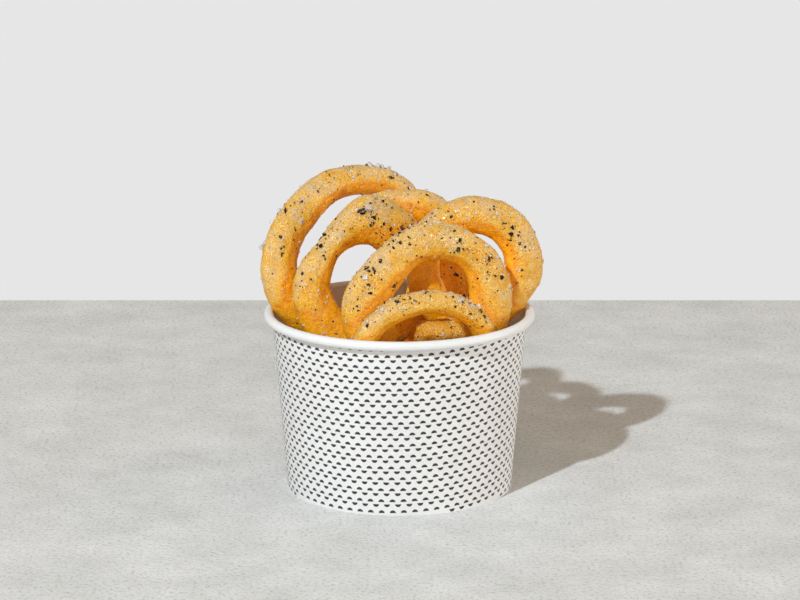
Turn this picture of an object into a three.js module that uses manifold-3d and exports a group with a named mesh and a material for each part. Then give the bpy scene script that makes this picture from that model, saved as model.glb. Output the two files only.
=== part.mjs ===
// Onion rings side: battered onion rings standing in a short paper tub with a rolled rim.
// Millimetres, +Z up, +Y away from the front. The tub stands on z = 0 and its axis is the Z axis.

import * as THREE from 'three';
import { mergeVertices } from 'three/addons/utils/BufferGeometryUtils.js';
import Module from 'manifold-3d';

const wasm = await Module();
wasm.setup();

// ---------------------------------------------------------------- driving dimensions

const TUB = {
  height: 77,          // table to the top of the rolled rim
  rimRadius: 57.5,     // outside of the rolled rim
  rollRadius: 2.05,    // outside of the paper curl that makes the rim
  baseRadius: 47.9,    // outside of the wall at the table
  paper: 0.6,          // thickness of the coated board
  curlEnd: -125,       // degrees: where the curl's free edge stops, just clear of the wall
  floorTop: 8,         // upper face of the recessed floor
  flapTop: 6,          // the wall's lower edge is folded in and up to here
  flapGap: 1.35,       // pocket between wall and folded flap, where the floor's skirt sits
  joint: 0.3,          // clearance kept between glued faces
  facets: 48,
};

const RING_STEPS = 38;        // steps round a ring that shows
const RING_SIDES = 12;        // sides of its section
const LOW_RING_STEPS = 26;    // the same for rings lying deep in the tub
const LOW_RING_SIDES = 10;
const BATTER_LUMP = 0.3;      // how far the batter swells and dips

// Coarse cracked pepper, lying on the front and upper sides of the rings.
const FLAKE = {
  length: 2.6,
  width: 1.8,
  height: 1.3,
  sink: 0.15,                 // depth of its middle below the skin of the batter
  clearance: 2.2,             // flakes stay this far from every other ring and from the tub
  arcStep: 0.618,             // share of the arc between one flake and the next
  arcSpread: 0.2,             // the most that a flake strays from its place along the arc
  seatFrom: 25,               // degrees round the section, from the outer edge towards the front
  seatTo: 105,
};

const FLAT = [0, 0, 0, 0, 0, 0, 0, 0];

// A list has eight or sixteen stations, evenly spaced round a ring, from its right side over the top.
// mid is the radius to the middle of the band, half is half the band's width across its face,
// thick is half its thickness, and bow is how far the band bends forward out of the ring's plane.
// at is the middle of the ring. lean tips its top back, and turn swings its right side back,
// both in degrees. flakes are on the arc given in degrees.
const STANDING_RINGS = [
  {
    name: 'ring_back_left', at: [-17.6, 31.9, 90.2], turn: 39.8, lean: 14.1, thick: 6.6, seed: 1,
    mid: [33.4, 36.4, 35.4, 36.5, 43.4, 36.2, 34.0, 33.8],
    half: [6.2, 7.0, 6.6, 7.8, 8.6, 7.3, 7.2, 5.6],
    bow: [4, 3, 1, 0, 0, 0, 2, 5],
    flakes: { count: 11, from: 60, to: 195 },
  },
  {
    name: 'ring_back_middle', at: [9.5, 28.2, 100.8], turn: 8, lean: 10, thick: 5.0, seed: 2,
    mid: [
      17, 15, 13.5, 13.5, 14, 16, 20.5, 20,
      13, 12, 11.5, 13, 18, 21.5, 22.5, 20,
    ],
    half: [
      7, 6.5, 6.5, 7, 7.5, 7.5, 8, 8,
      4.5, 4.5, 4.5, 4, 6.5, 9.5, 11.5, 9.5,
    ],
    flakes: { count: 6, from: 55, to: 110 },
  },
  {
    name: 'ring_left', at: [-12.8, 3.1, 86.8], turn: 23.4, lean: 12.2, thick: 7.0, seed: 3,
    mid: [
      25.5, 25, 25, 26, 27.5, 25, 24, 25.5,
      26.5, 26, 26, 26, 26.5, 25.5, 24.5, 25,
    ],
    half: [
      7, 8.5, 10, 11, 10.5, 7, 5.5, 7,
      8.5, 9, 9, 9, 9, 8.5, 8, 7.5,
    ],
    flakes: { count: 11, from: 75, to: 190 },
  },
  {
    name: 'ring_right', at: [30.7, 2.5, 92.2], turn: 12.5, lean: 8.6, thick: 6.9, seed: 4,
    mid: [22.4, 24.6, 24.7, 24.0, 21.0, 20.4, 20.0, 19.0],
    half: [8.3, 8.2, 7.8, 7.5, 7.0, 7.4, 8.0, 7.4],
    flakes: { count: 9, from: 12, to: 105 },
  },
  {
    name: 'ring_front', at: [11.6, -18.7, 82.2], turn: 12.8, lean: 8.7, thick: 7.3, seed: 5,
    mid: [27.3, 29.4, 27.6, 24.1, 26.2, 25.0, 23.5, 23.5],
    half: [9.6, 7.7, 8.2, 8.5, 10.4, 9.5, 8.5, 8.0],
    flakes: { count: 13, from: 10, to: 175 },
  },
  {
    name: 'ring_front_low', at: [9.6, -35.4, 58.6], turn: 16.1, lean: -2.8, thick: 5.4, seed: 6,
    mid: [28.9, 31.0, 30.6, 30.1, 27.6, 26.0, 29.0, 25.5],
    half: [5.2, 4.8, 5.0, 4.7, 5.2, 5.0, 5.0, 5.0],
    flakes: { count: 9, from: 50, to: 130 },
  },
];

const LYING_RINGS = [
  {
    name: 'ring_under_right', at: [30.0, 8.6, 62.8], turn: -4, lean: 62, thick: 5.6, seed: 8,
    mid: [12.8, 12.5, 12.6, 12.2, 11.8, 12.5, 12.5, 12.5],
    half: [5.6, 5.5, 5.6, 5.2, 5.2, 5.5, 5.5, 5.5],
  },
  {
    name: 'ring_layer_3', at: [3.7, 3.0, 42.5], turn: -2, lean: 88, thick: 6.0, seed: 9,
    mid: [27.5, 27.0, 28.0, 27.0, 27.5, 27.0, 28.0, 27.0],
    half: [7.5, 7.0, 7.0, 7.0, 7.5, 7.0, 7.0, 7.0],
  },
  {
    name: 'ring_layer_2', at: [-0.4, 5.5, 29.3], turn: -40, lean: 88, thick: 6.7, seed: 10,
    mid: [27.5, 27.0, 28.0, 27.0, 27.5, 27.0, 28.0, 27.0],
    half: [8.5, 8.0, 8.0, 8.0, 8.5, 8.0, 8.0, 8.0],
  },
  {
    name: 'ring_layer_1', at: [0, 0, 15.6], turn: 20, lean: 90, thick: 6.9, seed: 11,
    mid: [34.0, 32.5, 33.0, 35.0, 33.5, 32.5, 34.0, 33.0],
    half: [8.0, 7.5, 8.0, 8.0, 7.5, 7.5, 8.0, 8.0],
  },
];

// A short broken piece of ring, caught in the hole of the front ring, and a crumb of batter.
const STUB = { at: [17.1, -34.0, 75.6], bow: 3, radius: 5.5, length: 11.3, turn: 12, tip: -4, seed: 12 };
const CRUMB = { at: [1.8, -31.7, 73.0], size: [3.8, 1.2, 1.3], tip: 37, seed: 13 };

const LOOKS = {
  board: { color: '#eceae6', roughness: 0.45, metalness: 0 },
  batter: { color: '#dd9a3a', roughness: 0.55, metalness: 0 },
};

// ---------------------------------------------------------------- small helpers

const degrees = (angle) => THREE.MathUtils.degToRad(angle);

// Repeatable random numbers from 0 to 1, a fresh series for each seed.
function randomSeries(seed) {
  let state = seed * 7919 + 17;
  return () => {
    state = (state * 16807) % 2147483647;
    return state / 2147483647;
  };
}

// Smooth closed curve through evenly spaced values, read at any angle.
function aroundStations(values, angle) {
  const count = values.length;
  const place = (((angle / (2 * Math.PI)) % 1) + 1) % 1 * count;
  const first = Math.floor(place);
  const t = place - first;
  const value = (offset) => values[(first + offset + count) % count];
  const slopeIn = (value(1) - value(-1)) / 2;
  const slopeOut = (value(2) - value(0)) / 2;
  const t2 = t * t;
  const t3 = t2 * t;
  return (2 * t3 - 3 * t2 + 1) * value(0) + (t3 - 2 * t2 + t) * slopeIn
    + (3 * t2 - 2 * t3) * value(1) + (t3 - t2) * slopeOut;
}

function closedGeometry(geometry) {
  geometry.deleteAttribute('normal');
  geometry.deleteAttribute('uv');
  return mergeVertices(geometry, 1e-4);
}

function toManifold(geometry) {
  const closed = closedGeometry(geometry.clone());
  const vertProperties = new Float32Array(closed.attributes.position.array);
  const triVerts = new Uint32Array(closed.index.array);
  return new wasm.Manifold(new wasm.Mesh({ numProp: 3, vertProperties, triVerts }));
}

function fromManifold(solid) {
  const mesh = solid.getMesh();
  const geometry = new THREE.BufferGeometry();
  geometry.setAttribute('position', new THREE.BufferAttribute(mesh.vertProperties, 3));
  geometry.setIndex(new THREE.BufferAttribute(mesh.triVerts, 1));
  return geometry;
}

function namedMesh(name, geometry, look) {
  geometry.computeVertexNormals();
  const mesh = new THREE.Mesh(geometry, new THREE.MeshStandardMaterial(look));
  mesh.name = name;
  return mesh;
}

// ---------------------------------------------------------------- the paper tub

const rollCentre = {
  radius: TUB.rimRadius - TUB.rollRadius,
  z: TUB.height - TUB.rollRadius,
};
const curlInside = TUB.rollRadius - TUB.paper;
const wallTopRadius = rollCentre.radius - curlInside;

// Outside radius of the wall at a height.
function wallRadius(z) {
  return TUB.baseRadius + (wallTopRadius - TUB.baseRadius) * (z / rollCentre.z);
}

function arcPoints(radius, fromAngle, toAngle, steps) {
  const points = [];
  for (let i = 0; i <= steps; i++) {
    const angle = degrees(fromAngle + ((toAngle - fromAngle) * i) / steps);
    points.push(new THREE.Vector2(
      rollCentre.radius + radius * Math.cos(angle),
      rollCentre.z + radius * Math.sin(angle),
    ));
  }
  return points;
}

// Wall, curl over the rim, and the flap folded in at the foot, as one sheet of board.
function wallGeometry() {
  const { paper, flapTop, flapGap, curlEnd } = TUB;
  const flapOuter = TUB.baseRadius - paper - flapGap;
  const profile = [
    new THREE.Vector2(TUB.baseRadius, 0),
    ...arcPoints(curlInside, 180, curlEnd, 6),
    ...arcPoints(TUB.rollRadius, curlEnd, 180, 8),
    new THREE.Vector2(wallRadius(TUB.floorTop) - paper, TUB.floorTop),
    new THREE.Vector2(TUB.baseRadius - paper, paper),
    new THREE.Vector2(flapOuter, paper),
    new THREE.Vector2(flapOuter, flapTop),
    new THREE.Vector2(flapOuter - paper, flapTop),
    new THREE.Vector2(flapOuter - paper, 0),
    new THREE.Vector2(TUB.baseRadius, 0),
  ];
  const geometry = new THREE.LatheGeometry(profile, TUB.facets);
  geometry.rotateX(Math.PI / 2);
  return closedGeometry(geometry);
}

// Floor disc with its skirt turned down into the pocket of the folded foot.
function floorGeometry() {
  const { paper, joint, floorTop } = TUB;
  const discRadius = wallRadius(floorTop - paper) - paper - joint;
  const skirtOuter = TUB.baseRadius - paper - joint;
  const skirtInner = skirtOuter - paper;
  const skirtFoot = paper + joint;
  const profile = [
    new THREE.Vector2(0, floorTop),
    new THREE.Vector2(0, floorTop - paper),
    new THREE.Vector2(skirtInner, floorTop - paper),
    new THREE.Vector2(skirtInner, skirtFoot),
    new THREE.Vector2(skirtOuter, skirtFoot),
    new THREE.Vector2(discRadius, floorTop - paper),
    new THREE.Vector2(discRadius, floorTop),
    new THREE.Vector2(0, floorTop),
  ];
  const geometry = new THREE.LatheGeometry(profile, TUB.facets);
  geometry.rotateX(Math.PI / 2);
  return closedGeometry(geometry);
}

// ---------------------------------------------------------------- battered rings

// Swell and dip of the batter at an angle round the ring and an angle round its section.
function batterLump(around, section, phase) {
  return BATTER_LUMP * (
    0.45 * Math.sin(3 * around + section + phase)
    + 0.35 * Math.sin(7 * around - 2 * section + 2.1 * phase)
    + 0.2 * Math.sin(12 * around + 3 * section + 3.7 * phase)
  );
}

// Point on a ring's skin in the ring's own frame: x right, y up, z towards the front.
function ringPoint(ring, around, section) {
  const lump = batterLump(around, section, ring.seed);
  const outward = (aroundStations(ring.half, around) + lump) * Math.cos(section);
  const forward = aroundStations(ring.bow ?? FLAT, around) + (ring.thick + lump) * Math.sin(section);
  const radius = aroundStations(ring.mid, around) + outward;
  return new THREE.Vector3(radius * Math.cos(around), radius * Math.sin(around), forward);
}

// A plain torus whose points are moved out to the ring's own skin.
function ringGeometry(ring, steps, sides) {
  const plainRadius = 2;
  const plainTube = 1;
  const geometry = closedGeometry(new THREE.TorusGeometry(plainRadius, plainTube, sides, steps));
  const position = geometry.attributes.position;
  for (let i = 0; i < position.count; i++) {
    const x = position.getX(i);
    const y = position.getY(i);
    const around = Math.atan2(y, x);
    const section = Math.atan2(position.getZ(i), Math.hypot(x, y) - plainRadius);
    position.setXYZ(i, ...ringPoint(ring, around, section).toArray());
  }
  return geometry;
}

function place(mesh, { at, turn, lean }) {
  mesh.position.set(...at);
  mesh.rotation.set(degrees(90 - lean), 0, degrees(turn), 'ZXY');
  mesh.updateMatrixWorld();
  return mesh;
}

// Middle line of a ring in the tub's frame, with the largest half size of its section.
function middleLine(ring) {
  const frame = place(new THREE.Object3D(), ring);
  const line = [];
  for (let i = 0; i < RING_STEPS; i++) {
    const around = (2 * Math.PI * i) / RING_STEPS;
    const mid = aroundStations(ring.mid, around);
    const bow = aroundStations(ring.bow ?? FLAT, around);
    const point = new THREE.Vector3(mid * Math.cos(around), mid * Math.sin(around), bow);
    const size = Math.max(aroundStations(ring.half, around), ring.thick);
    line.push({ point: point.applyMatrix4(frame.matrixWorld), size });
  }
  return line;
}

const allRings = [...STANDING_RINGS, ...LYING_RINGS];
const middleLines = new Map(allRings.map((ring) => [ring.name, middleLine(ring)]));

function clearOfTub(point) {
  const room = wallRadius(point.z) - TUB.paper - FLAKE.clearance;
  return point.z > TUB.height || Math.hypot(point.x, point.y) < room;
}

function clearOfOthers(point, ring) {
  for (const [name, line] of middleLines) {
    if (name === ring.name) continue;
    for (const other of line) {
      if (point.distanceTo(other.point) < other.size + FLAKE.clearance) return false;
    }
  }
  return true;
}

// One coarse flake of cracked pepper: a small uneven pebble lying half in the batter.
function flakeGeometry(random) {
  const unevenness = 0.15;
  const geometry = closedGeometry(new THREE.IcosahedronGeometry(1, 0));
  const position = geometry.attributes.position;
  for (let i = 0; i < position.count; i++) {
    const stretch = 1 + unevenness * (2 * random() - 1);
    position.setXYZ(
      i,
      (position.getX(i) * stretch * FLAKE.length) / 2,
      (position.getY(i) * stretch * FLAKE.width) / 2,
      (position.getZ(i) * stretch * FLAKE.height) / 2,
    );
  }
  return geometry;
}

// Turns and moves a flake so that it lies on the ring's skin, and returns where its middle is.
function seatFlake(flake, ring, around, section) {
  const nearby = 0.02;
  const seat = ringPoint(ring, around, section);
  const ahead = ringPoint(ring, around + nearby, section).sub(seat).normalize();
  const across = ringPoint(ring, around, section + nearby).sub(seat).normalize();
  const outward = new THREE.Vector3().crossVectors(ahead, across).normalize();
  const sideways = new THREE.Vector3().crossVectors(outward, ahead);
  flake.applyMatrix4(new THREE.Matrix4().makeBasis(ahead, sideways, outward));
  seat.addScaledVector(outward, -FLAKE.sink);
  flake.translate(...seat.toArray());
  return seat;
}

// Fuses the flakes that lie on the ring's front and upper side to its batter.
function withFlakes(ring, geometry) {
  const random = randomSeries(ring.seed);
  const frame = place(new THREE.Object3D(), ring);
  const { count, from, to } = ring.flakes;
  let solid = toManifold(geometry);
  for (let i = 0; i < count; i++) {
    const along = (i * FLAKE.arcStep + FLAKE.arcSpread * random()) % 1;
    const around = degrees(from + along * (to - from));
    const section = degrees(FLAKE.seatFrom + (FLAKE.seatTo - FLAKE.seatFrom) * random());
    const flake = flakeGeometry(random);
    flake.rotateZ(2 * Math.PI * random());
    const middle = seatFlake(flake, ring, around, section).applyMatrix4(frame.matrixWorld);
    if (clearOfTub(middle) && clearOfOthers(middle, ring)) {
      solid = solid.add(toManifold(flake));
    }
  }
  return fromManifold(solid);
}

// ---------------------------------------------------------------- broken pieces

// Short bowed length of ring with rounded ends, lying along X.
function stubGeometry() {
  const capSteps = 4;
  const sides = 12;
  const geometry = closedGeometry(
    new THREE.CapsuleGeometry(STUB.radius, STUB.length, capSteps, sides),
  );
  geometry.rotateZ(Math.PI / 2);
  const position = geometry.attributes.position;
  for (let i = 0; i < position.count; i++) {
    const x = position.getX(i);
    const bend = STUB.bow * (x / (STUB.length + STUB.radius)) ** 2;
    const grow = 1 + (batterLump(x / STUB.radius, position.getY(i), STUB.seed) / STUB.radius);
    position.setXYZ(i, x, position.getY(i) * grow, position.getZ(i) * grow - bend);
  }
  return geometry;
}

function crumbGeometry() {
  const geometry = closedGeometry(new THREE.IcosahedronGeometry(1, 1));
  const position = geometry.attributes.position;
  const [length, depth, height] = CRUMB.size;
  for (let i = 0; i < position.count; i++) {
    const x = position.getX(i);
    const z = position.getZ(i);
    const grow = 1 + batterLump(2 * x, 3 * z, CRUMB.seed);
    position.setXYZ(i, x * length * grow, position.getY(i) * depth, z * height * grow);
  }
  return geometry;
}

// ---------------------------------------------------------------- assembly

const side = new THREE.Group();
side.add(namedMesh('tub_wall', wallGeometry(), LOOKS.board));
side.add(namedMesh('tub_floor', floorGeometry(), LOOKS.board));

for (const ring of STANDING_RINGS) {
  const bare = ringGeometry(ring, RING_STEPS, RING_SIDES);
  side.add(place(namedMesh(ring.name, withFlakes(ring, bare), LOOKS.batter), ring));
}
for (const ring of LYING_RINGS) {
  const bare = ringGeometry(ring, LOW_RING_STEPS, LOW_RING_SIDES);
  side.add(place(namedMesh(ring.name, bare, LOOKS.batter), ring));
}

const stub = namedMesh('ring_stub', stubGeometry(), LOOKS.batter);
stub.position.set(...STUB.at);
stub.rotation.set(0, degrees(-STUB.tip), degrees(STUB.turn), 'ZXY');
side.add(stub);

const crumb = namedMesh('batter_crumb', crumbGeometry(), LOOKS.batter);
crumb.position.set(...CRUMB.at);
crumb.rotation.set(0, degrees(-CRUMB.tip), 0);
side.add(crumb);

export default side;
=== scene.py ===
"""Looks of the onion rings side: batter, pepper, salt, printed paper tub, table, light and camera.

Sizes and places are in millimetres and become metres where a mesh is made.
"""

import itertools
import math

import bpy
import numpy as np
from mathutils import Matrix, Vector
from mathutils.bvhtree import BVHTree


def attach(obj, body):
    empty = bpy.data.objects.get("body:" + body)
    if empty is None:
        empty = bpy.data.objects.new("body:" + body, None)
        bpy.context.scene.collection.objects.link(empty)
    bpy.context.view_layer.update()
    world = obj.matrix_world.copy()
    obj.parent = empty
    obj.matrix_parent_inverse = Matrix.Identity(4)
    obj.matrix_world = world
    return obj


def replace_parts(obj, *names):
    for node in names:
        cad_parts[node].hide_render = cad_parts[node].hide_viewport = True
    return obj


MM = 0.001

# ---------------- driving dimensions

IMAGE = {"width": 800, "height": 600}      # pixels
CAMERA = {
    "eye": (0.22, -1600.0, 476.66),
    "pitch": 13.89,         # degrees down from level
    "focal": 3882.37,       # pixels
    "sensor": 36.0,
    "sees_to": 20.0,        # metres
}

TUB = {
    "height": 77.0,         # table to the top of the rolled rim
    "rim_radius": 57.5,     # outside of the rolled rim
    "roll_radius": 2.05,    # outside of the paper curl that makes the rim
    "base_radius": 47.9,    # outside of the wall at the table
    "paper": 0.6,
    "curl_end": -125.0,     # degrees: where the curl's free edge stops
    "curl_join": 178.0,     # degrees: the curl's last point before the wall's inner face
    "floor_top": 8.0,
    "flap_top": 6.0,        # upper edge of the wall's foot, folded in and up
    "flap_gap": 1.35,       # between the wall and that flap
    "joint": 0.3,           # between the floor's skirt and the boards round it
    "pinhole": 0.02,        # radius left open in the middle of the floor
    "turns": 288,           # steps round the tub
    "sharp": 40.0,          # degrees: edges that turn more than this are creases
}
BACK = -math.pi             # radians from the front: the tub's back
# Points on each stretch of the wall's section.
WALL_STEPS = {"side": 40, "curl_inside": 30, "curl_outside": 44, "flap": 3, "flap_top": 1, "foot": 2}
SEAM = {
    "at": 160.0,            # degrees from the front
    "overlap": 9.0,
    "step": 0.35,           # how far the outer end stands out
    "fade": 5.0,            # over which the board settles back
    "cut": (-1e-4, 1e-3),   # radians before and after the cut edge
    "margin": 0.05,         # a point this little inside the wall still counts as outside
}

# The wall's blank is a flat fan, printed with straight rows before it is wrapped.
BLANK = {
    "apex": 578.0,          # from the top edge to the fan's apex
    "sine": 0.094,          # turn on the fan for each turn round the tub
    "middle": -20.0,        # degrees from the front to the middle of the blank
}
PRINT = {
    "pitch": 4.6,           # from one half dot to the next along a row
    "period": 4.9,          # from one pair of rows to the next
    "dot_radius": 1.25,
    "gap": 1.0,             # between the flat sides of a pair of rows
    "first_row": 6.1,       # from the top of the blank to the first pair's middle
    "extra_pairs": 4,       # rows tried past the tub's top and foot, because they slant
    "underside": 0.004,     # from the board to the bottom and
    "film": 0.03,           # to the top of the ink
    "bow_points": 9,        # along the round side of a half dot
    "top_bare": 1.5,        # no ink this near the middle of the curl
    "foot_bare": 0.15,      # or the table
    "end_bare": 0.003,      # or, in radians on the fan, the blank's ends
}

STEP = 0.5         # mm between the points of a ring that shows
LOW_STEP = 0.9     # the same for rings lying deep in the tub
BATTER_LUMP = 0.3  # mm, of the swell that the solids have too
RELIEF = {         # height and width of the bumps on the fried batter
    "lumps": (0.32, 8.0),
    "dimples": (0.20, 3.1),
    "blisters": (0.20, 1.7),
    "crumbs": (0.07, 0.95),
    "breaks": (0.3, 1.9),   # on the broken piece alone
}

# The share of the sky that is hidden, looked for from the points of coarse rings, sets how much shade
# is painted into the batter's colour.
COARSE = (64, 16)              # steps round a coarse ring, and sides of its section
COARSE_WALL = {"every": 6, "turns": 48}     # one in six points of the wall's section, steps round
PAINTED_SHADE_RAYS = {"ways": 40, "start": 0.8, "reach": 70.0}    # directions, mm off the skin, mm along
INNER_PAINTED_SHADE = 0.2            # painted shade added on the side that faces a ring's own hole
BIT_PAINTED_SHADE = {"stub": 0.24, "crumb": 0.05}     # painted shade all over the two broken bits

FLOUR_AND_GLINT = (0.92, 0.70, 0.34)     # pale flecks on the crust: partly flour and salt, partly painted glints
BROWN = (0.46, 0.20, 0.008)    # pits in it
SHADE_AMBER = (0.94, 0.56, 0.018)    # painted shade on batter that other batter hides from the sky a little,
SHADE_ORANGE = (0.76, 0.295, 0.003)  # more,
DEEP_SHADE_ORANGE = (1.0, 0.46, 0.0)     # and nearly all round
BATTER = {
    "pale": (0.61, 0.39, 0.155), "golden": (0.65, 0.365, 0.060), "toasted": (0.65, 0.30, 0.014),
    "grain_depth": 0.5,
}
CRUMBLY_BATTER = {
    "pale": (0.50, 0.20, 0.015), "golden": (0.47, 0.16, 0.004), "toasted": (0.44, 0.12, 0.002),
    "grain_depth": 0.7,
}

# A list has eight or sixteen stations, evenly spaced round a ring, from its right side over the top.
# mid is the radius to the middle of the band, half is half the band's width across its face,
# thick is half its thickness, and bow is how far the band bends forward out of the ring's plane.
FLAT = [0] * 8
LYING_MID = [27.5, 27.0, 28.0, 27.0] * 2
RINGS = [
    {
        "name": "ring_back_left", "at": (-17.6, 31.9, 90.2), "turn": 39.8, "lean": 14.1,
        "thick": 6.6, "seed": 1,
        "mid": [33.4, 36.4, 35.4, 36.5, 43.4, 36.2, 34.0, 33.8],
        "half": [6.2, 7.0, 6.6, 7.8, 8.6, 7.3, 7.2, 5.6],
        "bow": [4, 3, 1, 0, 0, 0, 2, 5],
    },
    {
        "name": "ring_back_middle", "at": (9.5, 28.2, 100.8), "turn": 8.0, "lean": 10.0,
        "thick": 5.0, "seed": 2,
        "mid": [17, 15, 13.5, 13.5, 14, 16, 20.5, 20, 13, 12, 11.5, 13, 18, 21.5, 22.5, 20],
        "half": [7, 6.5, 6.5, 7, 7.5, 7.5, 8, 8, 4.5, 4.5, 4.5, 4, 6.5, 9.5, 11.5, 9.5],
    },
    {
        "name": "ring_left", "at": (-12.8, 3.1, 86.8), "turn": 23.4, "lean": 12.2,
        "thick": 7.0, "seed": 3,
        "mid": [25.5, 25, 25, 26, 27.5, 25, 24, 25.5, 26.5, 26, 26, 26, 26.5, 25.5, 24.5, 25],
        "half": [7, 8.5, 10, 11, 10.5, 7, 5.5, 7, 8.5, 9, 9, 9, 9, 8.5, 8, 7.5],
    },
    {
        "name": "ring_right", "at": (30.7, 2.5, 92.2), "turn": 12.5, "lean": 8.6,
        "thick": 6.9, "seed": 4,
        "mid": [22.4, 24.6, 24.7, 24.0, 21.0, 20.4, 20.0, 19.0],
        "half": [8.3, 8.2, 7.8, 7.5, 7.0, 7.4, 8.0, 7.4],
    },
    {
        "name": "ring_front", "at": (11.6, -18.7, 82.2), "turn": 12.8, "lean": 8.7,
        "thick": 7.3, "seed": 5,
        "mid": [27.3, 29.4, 27.6, 24.1, 26.2, 25.0, 23.5, 23.5],
        "half": [9.6, 7.7, 8.2, 8.5, 10.4, 9.5, 8.5, 8.0],
    },
    {
        "name": "ring_front_low", "at": (9.6, -35.4, 58.6), "turn": 16.1, "lean": -2.8,
        "thick": 5.4, "seed": 6,
        "mid": [28.9, 31.0, 30.6, 30.1, 27.6, 26.0, 29.0, 25.5],
        "half": [5.2, 4.8, 5.0, 4.7, 5.2, 5.0, 5.0, 5.0],
    },
    {
        "name": "ring_under_right", "at": (30.0, 8.6, 62.8), "turn": -4.0, "lean": 62.0,
        "thick": 5.6, "seed": 8, "step": LOW_STEP,
        "mid": [12.8, 12.5, 12.6, 12.2, 11.8, 12.5, 12.5, 12.5],
        "half": [5.6, 5.5, 5.6, 5.2, 5.2, 5.5, 5.5, 5.5],
    },
    {
        "name": "ring_layer_3", "at": (3.7, 3.0, 42.5), "turn": -2.0, "lean": 88.0,
        "thick": 6.0, "seed": 9, "step": LOW_STEP,
        "mid": LYING_MID,
        "half": [7.5, 7.0, 7.0, 7.0] * 2,
    },
    {
        "name": "ring_layer_2", "at": (-0.4, 5.5, 29.3), "turn": -40.0, "lean": 88.0,
        "thick": 6.7, "seed": 10, "step": LOW_STEP,
        "mid": LYING_MID,
        "half": [8.5, 8.0, 8.0, 8.0] * 2,
    },
    {
        "name": "ring_layer_1", "at": (0.0, 0.0, 15.6), "turn": 20.0, "lean": 90.0,
        "thick": 6.9, "seed": 11, "step": LOW_STEP,
        "mid": [34.0, 32.5, 33.0, 35.0, 33.5, 32.5, 34.0, 33.0],
        "half": [8.0, 7.5, 8.0, 8.0, 7.5, 7.5, 8.0, 8.0],
    },
]

STUB = {
    "at": (17.1, -34.0, 75.6), "bow": 3.0, "radius": 5.5, "length": 11.3,
    "turn": 12.0, "tip": -4.0, "seed": 12, "step": 0.4,
    "pull": 3.0,            # the middle 1/3 of a ball is pulled out to the length
    "rough": 2.0,           # times the relief of a whole ring
    "break_seed": 77,
}
CRUMB = {
    "at": (1.8, -31.7, 73.0), "size": (3.8, 1.2, 1.3), "tip": 37.0, "seed": 13,
    "grid": (28, 36),
    "uneven": (0.12, 0.5),  # height and width of its bumps, for a radius of 1
}

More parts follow.
